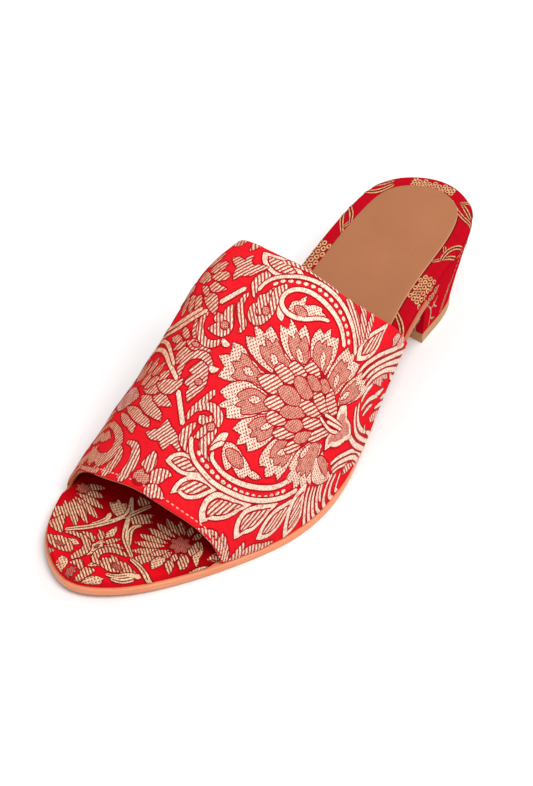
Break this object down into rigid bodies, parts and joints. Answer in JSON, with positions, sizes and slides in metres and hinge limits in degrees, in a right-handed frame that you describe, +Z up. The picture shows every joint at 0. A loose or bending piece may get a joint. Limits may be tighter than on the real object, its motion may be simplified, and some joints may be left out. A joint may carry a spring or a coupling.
{
  "type": "block heel mule",
  "caption": "Open-toe slip-on mule, left shoe: one wide brocade band over the forefoot, thin tan sole, padded footbed and low wrapped block heel.",
  "frame": {"origin": "on the floor, under the middle of the shoe's length and width", "axes": "+Z up; the toe points along -Y and the heel along +Y; +X is the outer (lateral) side of a left foot"},
  "size_m": [0.0934, 0.2443, 0.0809],
  "materials": {
    "upper_brocade": "red satin with gold woven scrolls, lined in tan",
    "footbed_brocade": "red satin with gold woven flowers, wrapped over the board",
    "heel_brocade": "red satin with sparse gold lattice and sprigs",
    "sock_leather": "smooth matt tan",
    "sole_leather": "smooth orange-tan, edge dyed",
    "lift": "satin tan-brown"
  },
  "bodies": {
    "root": {"outsole": "sole_leather", "footbed": "footbed_brocade", "sock": "sock_leather", "upper": "upper_brocade", "heel_block": "heel_brocade", "top_piece": "lift"}
  },
  "joints": []
}
